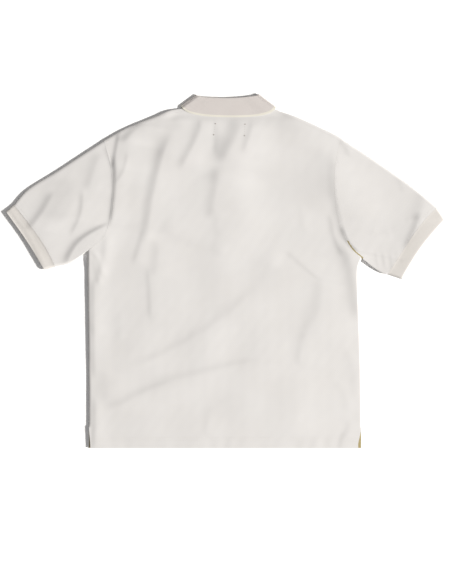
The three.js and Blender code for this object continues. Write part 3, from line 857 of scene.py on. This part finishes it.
sleeveRoll = sleeve["roundOver"]["left"] / sleeve["width"] * rollShares(sleeve["roll"])
sleeveShares = joined(sleeveRoll,
                      np.linspace(sleeveRoll[-1], 1 - sleeveRoll[-1], sleeve["across"]),
                      1 - sleeveRoll[::-1])
cuffShares = np.linspace(0, 1, cuff["ribs"] * rib["pointsPerRib"] + 1)


# Shares along a cuff, close together at the step down from the sleeve and at the fold
def cuffLines(side):
    fold = cuff["fold"][side] / cuff["depth"]
    atStep = [0, 0.04, 0.08]
    return joined(atStep, np.linspace(atStep[-1], 1 - fold, cuff["rows"]),
                  1 - fold * rollShares(cuff["rows"])[::-1])


# Painted shade along the seam at the right armpit, for the warm shade in its gap
def shadeArmpit(mesh):
    mesh.materials.append(paintedShadeTwill)
    armhole = curves["right"]["armhole"](np.linspace(0, 1, 60))
    x, y = np.array([face.center[:2] for face in mesh.polygons]).T / mm
    isShaded = (nearest(x, y, armhole)[0] < sleeve["paintedShade"]["width"]) & (y < sleeve["paintedShade"]["top"])
    mesh.polygons.foreach_set("material_index", isShaded.astype(np.int32))


sleeves, cuffs = {}, {}
for side in sides:
    sleeves[side] = makeTube(f"sleeve_tube_{side}", sleevePlan(side), sleeveShares,
                             np.linspace(0, 1, sleeve["along"]), sleeve["roundOver"][side],
                             sleeveHeights, cloth["wall"], piqueCloth)
    cuffs[side] = makeTube(f"rib_cuff_{side}", cuffPlan(side), cuffShares, cuffLines(side),
                           cuff["roundOver"], partial(cuffHeights, side), rib["wall"], cuffKnit)
shadeArmpit(sleeves["right"].data)


# The folded collar: a stand, a soft fold at its top and the fall outside it
collarGrid = {"quarter": 310, "turn": 14, "stand": 5, "fold": 6, "fall": 11}
foldFrom, fallFrom = 0.4, 0.5  # shares of the way from the seam to the edge


# A row for each step round the neck: foot x and y, turn, lean, spread, stand, fall and side
def collarStations(side):
    lean, spread, stand, fall, out = (collar[side][key]
                                      for key in ("lean", "spread", "stand", "fall", "out"))
    first = math.acos(collar["frontClearance"] / neck["halfWidth"])
    t = np.linspace(0, 1, collarGrid["quarter"])

    def at(angle, drop):
        inwards = coords([-out * np.cos(angle) * drop, np.sin(angle) * neck["halfWidth"]])
        inwards *= cloth["seamGap"] / np.linalg.norm(inwards, axis=-1, keepdims=True)
        return coords([neck["centre"] + out * neck["halfWidth"] * np.cos(angle),
                       neck["top"] - drop * np.sin(angle)]) + inwards

    block = np.column_stack
    frontPart = block([at(mix(first, 0, t), neck["frontDrop"]), 0 * t, lean * t**1.5,
                       mix(collar["pointSpread"], spread, t), mix(collar["standBack"], stand, t),
                       mix(collar["fallPoint"], fall, t**0.7)])
    turning = np.repeat(frontPart[-1:], collarGrid["turn"], axis=0)
    turning[:, 2] = np.linspace(0, 180, collarGrid["turn"] + 1)[1:]
    backPart = block([at(t * math.pi / 2, neck["backDrop"]), 180 + 0 * t, lean * (1 - t)**1.5,
                      spread * (1 - t)**1.5, mix(stand, collar["standBack"], t),
                      mix(fall, collar["fallBack"], t)])[1:]
    stations = np.concatenate([frontPart, turning, backPart])
    return block([stations, np.full(len(stations), out)])


def makeCollar():
    stations = np.concatenate([collarStations("left"), collarStations("right")[-2::-1]])
    footX, footY, turn, lean, spread, stand, fall, out = stations.T
    lean, spread, turn = np.radians(lean), np.radians(spread), np.radians(turn)
    zero = np.zeros_like(lean)
    up = coords([-out * np.sin(lean), np.cos(lean), zero])
    down = coords([out * np.sin(spread), -np.cos(spread), zero])
    beside = coords([out * np.cos(lean), np.sin(lean), zero])
    aside = np.sin(turn)
    facing = beside * aside[:, None]
    facing[:, 2] = -np.cos(turn)
    radius = (backNeckHeight - frontNeckHeight) / 2
    foot = coords([footX, footY, frontNeckHeight + radius * (1 - np.cos(turn))])
    foot += beside * (radius * aside)[:, None] + up * (cloth["seamGap"] * aside)[:, None]
    head = foot + up * stand[:, None]
    fold = collar["foldGap"] / 2
    rows, shares = [], []
    for share in np.linspace(0, 1, collarGrid["stand"])[:-1]:
        rows.append((mix(foot, head, share), -facing))
        shares.append(share * foldFrom)
    for angle in np.linspace(0, math.pi, collarGrid["fold"]):
        radial = -facing * math.cos(angle) + up * math.sin(angle)
        rows.append((head + facing * fold + radial * fold, radial))
        shares.append(mix(foldFrom, fallFrom, angle / math.pi))
    for share in np.linspace(0, 1, collarGrid["fall"])[1:]:
        rows.append((head + facing * collar["foldGap"] + down * (fall * share)[:, None], facing))
        shares.append(mix(fallFrom, 1, share))
    middle, outwards = (np.stack(points, axis=1) for points in zip(*rows))
    shares = np.array(shares)
    # the ribs run from the seam to the edge, which is knitted plain
    along = lengthAlong(middle[:, -5])
    ribs = np.cos(2 * math.pi * np.arange(len(stations)) / rib["pointsPerRib"])[:, None]
    ribbed = smooth((1 - shares) / collar["plainEdge"])[None, :]
    sag = ripple(middle[..., 0], middle[..., 1], "collar") - collar["sag"]
    middle = middle + outwards * (rib["depth"] * ribs * ribbed)[..., None]
    # only the fall sags, where it lies on the back
    middle[..., 2] += sag * smooth(shares * 2 - 0.9)[None, :] * (turn[:, None] > 3)
    # the wearer's left end is pressed flat
    pressed = collar["pressed"]
    fromEnd = (middle[..., :2] - pressed["at"]) @ pressed["inwards"]
    flat = pressed["share"] * (1 - smooth(fromEnd / pressed["over"]))
    middle[..., 2] = mix(middle[..., 2], middle[..., 2].min(), flat)
    profile = lengthAlong(middle[len(stations) // 2])
    uv = coords(np.broadcast_arrays(along[:, None], profile[None, :])).reshape(-1, 2)
    grid = gridFaces(*middle.shape[:2])
    piece = makeMesh("rib_collar", middle.reshape(-1, 3), grid, uv, collarShadedKnit)
    # its last row takes the lighter knit: the plain finish, with a painted highlight on the lit
    # edge
    piece.data.materials.append(collarEdgeHighlight)
    rows = middle.shape[1] - 1
    isHighlightRow = np.arange(len(piece.data.polygons)) % rows >= rows - 1
    piece.data.polygons.foreach_set("material_index", isHighlightRow.astype(np.int32))
    thicken(piece, rib["collarWall"], 1)
    print("collar made,", round(len(stations) / rib["pointsPerRib"]), "ribs")
    return piece


ribCollar = makeCollar()

# The buttons lie face down on the floor, and the placket strips on them
button = {
    "thickness": 2.4,
    "turns": 64,
    "holeDiameter": 1.8,
    "holeSpacing": 2.9,
    "thread": 0.45,  # height of its bars of thread
    "slit": (1.6, 7.2),  # half the width and length of the buttonhole's stitches
    "drops": (15, 78),  # from the neckline
    # radius and height of each ring, from the dish over the rim to the back
    "outline": [(0, 0.55), (3.3, 0.5), (3.9, 0.15), (4.6, 0), (5.2, 0.12), (5.6, 0.5), (5.75, 1.1),
                (5.6, 1.7), (5.0, 2.15), (3.6, 2.38), (0, 2.4)],
}
placketLow = button["thickness"] + cloth["seamGap"]


def makeStrip(name, low):
    size = (placket["width"], placket["length"], cloth["wall"])
    middle = (neck["centre"], placketTop - placket["length"] / 2, low + cloth["wall"] / 2)
    bpy.ops.mesh.primitive_cube_add(size=1)
    piece = bpy.context.object
    piece.name = piece.data.name = name
    for vertex in piece.data.vertices:
        vertex.co = [(vertex.co[k] * size[k] + middle[k]) * mm for k in range(3)]
    bevel = piece.modifiers.new("rounded", "BEVEL")
    bevel.width, bevel.segments, bevel.limit_method = placket["rounded"] * mm, 3, "ANGLE"
    settle(piece)
    layer = piece.data.uv_layers.active or piece.data.uv_layers.new()
    layer.name = "cloth"
    for loop in piece.data.loops:
        layer.data[loop.index].uv = piece.data.vertices[loop.vertex_index].co.xy
    piece.data.materials.append(piqueCloth)
    return piece


strips = {
    "over": makeStrip("placket_strip_over", placketLow),
    "under": makeStrip("placket_strip_under", placketLow + panelStep),
}


# A turned disc with a rim, a shallow dish and four holes
def makeButton(name, y):
    turns, x = button["turns"], neck["centre"]
    shape = bmesh.new()
    rings = []
    for r, z in button["outline"]:
        angles = [2 * math.pi * k / turns for k in range(turns if r else 1)]
        rings.append([shape.verts.new(((x + r * math.cos(a)) * mm, (y + r * math.sin(a)) * mm,
                                       z * mm)) for a in angles])
    for inner, outer in zip(rings, rings[1:]):
        for k in range(turns):
            ring = (inner[k % len(inner)], inner[(k + 1) % len(inner)],
                    outer[(k + 1) % len(outer)], outer[k % len(outer)])
            shape.faces.new(list(dict.fromkeys(ring)))
    bmesh.ops.recalc_face_normals(shape, faces=shape.faces[:])
    mesh = bpy.data.meshes.new(name)
    shape.to_mesh(mesh)
    shape.free()
    piece = addPiece(mesh)
    half = button["holeSpacing"] / 2
    drills = []
    for dx, dy in ((-half, -half), (-half, half), (half, -half), (half, half)):
        bpy.ops.mesh.primitive_cylinder_add(
            vertices=16, radius=button["holeDiameter"] / 2 * mm, depth=8 * mm,
            location=((x + dx) * mm, (y + dy) * mm, 1 * mm))
        drills.append(bpy.context.object)
        hole = piece.modifiers.new("hole", "BOOLEAN")
        hole.operation, hole.solver, hole.object = "DIFFERENCE", "EXACT", drills[-1]
    settle(piece)
    for drill in drills:
        bpy.data.objects.remove(drill)
    piece.data.materials.clear()
    piece.data.materials.append(buttonResin)
    soften(piece.data)
    piece.data.set_sharp_from_angle(angle=math.radians(40))
    return piece


buttons = [makeButton(f"resin_button_{number + 1}", placketTop - drop)
           for number, drop in enumerate(button["drops"])]
print("placket and buttons made")


# Stitches: one small capsule each, laid along lines by one Geometry Nodes tree. A real seam
# stitch is 2.5 mm from the next, drawn further apart so that the rows show.
stitch = {
    "sink": 0.06,
    "seed": 7,
    "fromSeam": 6,
    "fromCuff": 5,
    "fromPlacketEdge": 2.5,
    "hemRows": (20.5, 14.5),
    "ends": 0.006,  # shares of a panel that rows leave free
    "topEnd": 0.993,
    "shoulders": ((0.012, 0.355), (0.645, 0.988)),
}
# The sides of a neck label are sewn through, from x at the top to x at the foot
label = {
    "top": 304,
    "foot": 284,
    "sides": ((-20.6, -23.6), (41, 40)),
    "tacks": ((-20.4, 306), (-24, 282.5), (41, 304.5), (40, 280.5)),
    "tackReach": 0.7,
}
stitchKinds = {
    "seam": {"thread": seamThread, "pitch": 3.3, "length": 2.5, "width": 0.55},
    "label": {"thread": paleThread, "pitch": 4.2, "length": 2.1, "width": 0.6},
    "tack": {"thread": labelThread, "pitch": 0.4, "length": 2.0, "width": 1.5},
    "buttonhole": {"thread": seamThread, "pitch": 0.5, "length": 0.9, "width": 0.7},
    "button": {"thread": seamThread, "pitch": 0.4, "length": 0.9, "width": 0.8},
}


def makeStitchTree():
    tree = bpy.data.node_groups.new("stitch_row", "GeometryNodeTree")
    for name, kind in (("Geometry", "Geometry"), ("Pitch", "Float"), ("Length", "Float"),
                       ("Width", "Float"), ("Seed", "Int"), ("Thread", "Material")):
        tree.interface.new_socket(name, in_out="INPUT", socket_type="NodeSocket" + kind)
    tree.interface.new_socket("Geometry", in_out="OUTPUT", socket_type="NodeSocketGeometry")
    given = addNode(tree, "NodeGroupInput")
    curve = addNode(tree, "GeometryNodeMeshToCurve", links={"Mesh": (given, "Geometry")})
    places = addNode(tree, "GeometryNodeResampleCurve", {"mode": "LENGTH"},
                     links={"Curve": (curve, "Curve"), "Length": (given, "Pitch")})
    tangent = addNode(tree, "GeometryNodeInputTangent")
    turn = addNode(tree, "FunctionNodeAlignRotationToVector", {"axis": "Z"},
                   links={"Vector": (tangent, "Tangent")})
    uneven = addNode(tree, "FunctionNodeRandomValue", {"data_type": "FLOAT"}, {2: 0.9, 3: 1.08},
                     {"Seed": (given, "Seed")})
    longer = addNode(tree, "ShaderNodeMath", {"operation": "MULTIPLY"},
                     links={0: (given, "Length"), 1: (uneven, 1)})
    size = addNode(tree, "ShaderNodeCombineXYZ",
                   links={"X": (given, "Width"), "Y": (given, "Width"), "Z": (longer, "Value")})
    capsule = addNode(tree, "GeometryNodeMeshUVSphere", None,
                      {"Segments": 6, "Rings": 4, "Radius": 0.5})
    laid = addNode(tree, "GeometryNodeInstanceOnPoints",
                   links={"Points": (places, "Curve"), "Instance": (capsule, "Mesh"),
                          "Rotation": (turn, "Rotation"), "Scale": (size, "Vector")})
    real = addNode(tree, "GeometryNodeRealizeInstances", links={"Geometry": (laid, "Instances")})
    dressed = addNode(tree, "GeometryNodeSetMaterial",
                      links={"Geometry": (real, "Geometry"), "Material": (given, "Thread")})
    addNode(tree, "NodeGroupOutput", links={"Geometry": (dressed, "Geometry")})
    return tree


stitchTree = makeStitchTree()


def sewRows(name, lines, kind):
    points = np.concatenate(lines)
    joins, start = [], 0
    for line in lines:
        joins += [(start + i, start + i + 1) for i in range(len(line) - 1)]
        start += len(line)
    mesh = bpy.data.meshes.new(name)
    mesh.from_pydata((points * mm).tolist(), joins, [])
    piece = addPiece(mesh)
    rows = piece.modifiers.new("stitches", "NODES")
    rows.node_group = stitchTree
    look = stitchKinds[kind]
    values = {"Pitch": look["pitch"] * mm, "Length": look["length"] * mm,
              "Width": look["width"] * mm, "Seed": stitch["seed"], "Thread": look["thread"]}
    for item in stitchTree.interface.items_tree:
        if item.in_out == "INPUT" and item.name in values:
            rows[item.identifier] = values[item.name]
    settle(piece)
    soften(piece.data)
    return piece


lift = cloth["wall"] / 2 - stitch["sink"]


def onBack(u, v):
    return onPanel(backPlan, backMiddle, u, v, lift)


def onFrontFace(u, v):
    return onPanel(frontPlan, frontMiddle, u, v, -lift)


def columnOnBack(x, y):
    top = backRest(x, y) + panelStep + loft(x, y)
    return coords([x, y, top + lift])


def sleeveTop(x, y, w, s):
    return sleeveHeights(x, y, w, s)[1]


# The hem has two rows, and one row follows each armhole and shoulder
def panelRows(onFace):
    across = np.linspace(stitch["ends"], 1 - stitch["ends"], 300)
    upArmhole = np.linspace(corner["armpit"] + stitch["ends"], stitch["topEnd"], 160)
    beside = stitch["fromSeam"] / bodyWidth
    return ([onFace(across, up / bodyHeight) for up in stitch["hemRows"]]
            + [onFace(share, upArmhole) for share in (beside, 1 - beside)])


shoulderRows = [onBack(np.linspace(a, b, 120), 1 - stitch["fromSeam"] / bodyHeight)
                for a, b in stitch["shoulders"]]
labelColumns = [columnOnBack(np.linspace(a, b, 20), np.linspace(label["top"], label["foot"], 20))
                for a, b in label["sides"]]
labelTacks = [columnOnBack(np.linspace(x - label["tackReach"], x + label["tackReach"], 12),
                           np.full(12, y)) for x, y in label["tacks"]]
cuffRow = (np.linspace(0.05, 0.95, 100), 1 - stitch["fromCuff"] / sleeve["length"])
cuffRows = {side: [onPanel(sleevePlan(side), sleeveTop, *cuffRow, lift)] for side in sides}


# A row round the placket, and a crossed box at its foot
def placketRows():
    inset = stitch["fromPlacketEdge"]
    left, right = (neck["centre"] + k * (placket["width"] / 2 - inset) for k in (-1, 1))
    bottom = placketTop - placket["length"] + inset
    top, box, z = placketTop - 2, bottom + placket["box"], placketLow + stitch["sink"]
    lines = [[(left, top, z), (left, bottom, z), (right, bottom, z), (right, top, z)],
             [(left, box, z), (right, box, z)], [(left, bottom, z), (right, box, z)],
             [(left, box, z), (right, bottom, z)]]
    return [np.array(line, float) for line in lines]


# Close loops of thread round the slit
def buttonholeRing(y):
    a = np.linspace(0, 2 * math.pi, 60)
    x, y = neck["centre"] + button["slit"][0] * np.cos(a), y + button["slit"][1] * np.sin(a)
    return coords([x, y, np.full_like(x, placketLow + stitch["sink"])])


# Two bars of thread through the four holes, out in the dish
def buttonThread(y):
    half = button["holeSpacing"] / 2
    return [np.array([(neck["centre"] + dx, y + dy, button["thread"]) for dy in (-half, half)])
            for dx in (-half, half)]


buttonYs = [placketTop - drop for drop in button["drops"]]
sewing = [
    ("back_stitches", back, panelRows(onBack) + shoulderRows, "seam"),
    ("label_stitches", back, labelColumns, "label"),
    ("label_tacks", back, labelTacks, "tack"),
    ("front_stitches", front, panelRows(onFrontFace), "seam"),
    ("cuff_stitches_left", sleeves["left"], cuffRows["left"], "seam"),
    ("cuff_stitches_right", sleeves["right"], cuffRows["right"], "seam"),
    ("placket_stitches", strips["over"], placketRows(), "seam"),
    ("buttonhole_stitches", strips["over"], [buttonholeRing(y) for y in buttonYs], "buttonhole"),
    ("button_threads", buttons[0], [bar for y in buttonYs for bar in buttonThread(y)], "button"),
]
sewn = [(owner, sewRows(name, lines, kind)) for name, owner, lines, kind in sewing]
print("stitches sewn")


# Floor, light and camera
stageLook = {
    "floor": "#fdfcfc",
    "floorSize": 14,
    "sky": "#ffffff",
    "skyStrength": 0.32,
    "lampPlace": (13.1, -2.67, 7.4),
    "lampSize": 2.2,
    "lampPower": 4750,
    "lampColour": "#fffdf9",
    "sensor": 36,
    "cameraHeight": 4.0,
    "cameraAim": (-0.0004, -0.0302),
    "viewHeight": 1.1877,  # metres of floor from the top of the frame to the bottom
}

bpy.ops.mesh.primitive_plane_add(size=stageLook["floorSize"])
floor = bpy.context.object
floor.name = "floor"
floor.data.materials.append(makeClouded("matt_white_backdrop", backdropLook, stageLook["floor"]))

world = bpy.data.worlds.new("studio")
world.use_nodes = True
sky = world.node_tree.nodes["Background"]
sky.inputs["Color"].default_value = linear(stageLook["sky"])
sky.inputs["Strength"].default_value = stageLook["skyStrength"]
bpy.context.scene.world = world

lampData = bpy.data.lights.new("window", "AREA")
lampData.shape, lampData.size = "DISK", stageLook["lampSize"]
lampData.energy = stageLook["lampPower"]
lampData.color = linear(stageLook["lampColour"])[:3]
lamp = bpy.data.objects.new("window", lampData)
lamp.location = stageLook["lampPlace"]
lamp.rotation_euler = lamp.location.to_track_quat("Z", "Y").to_euler()
bpy.context.collection.objects.link(lamp)

cameraData = bpy.data.cameras.new("camera")
cameraData.sensor_fit, cameraData.sensor_height = "VERTICAL", stageLook["sensor"]
cameraData.lens = stageLook["sensor"] * stageLook["cameraHeight"] / stageLook["viewHeight"]
camera = bpy.data.objects.new("camera", cameraData)
camera.location = (*stageLook["cameraAim"], stageLook["cameraHeight"])
bpy.context.collection.objects.link(camera)
bpy.context.scene.camera = camera
bpy.context.scene.view_settings.view_transform = "Standard"
print("floor, light and camera set")


# What each piece stands for
def declare(piece, node):
    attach(piece, "root")
    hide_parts(node)


declare(back, "back")
declare(front, "front")
for side in sides:
    declare(sleeves[side], f"sleeve_{side}")
    declare(cuffs[side], f"cuff_{side}")
declare(ribCollar, "collar")
for name, strip in strips.items():
    declare(strip, f"placket_{name}")
for number, piece in enumerate(buttons):
    declare(piece, f"button_{number + 1}")
for owner, rows in sewn:
    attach(rows, "root")
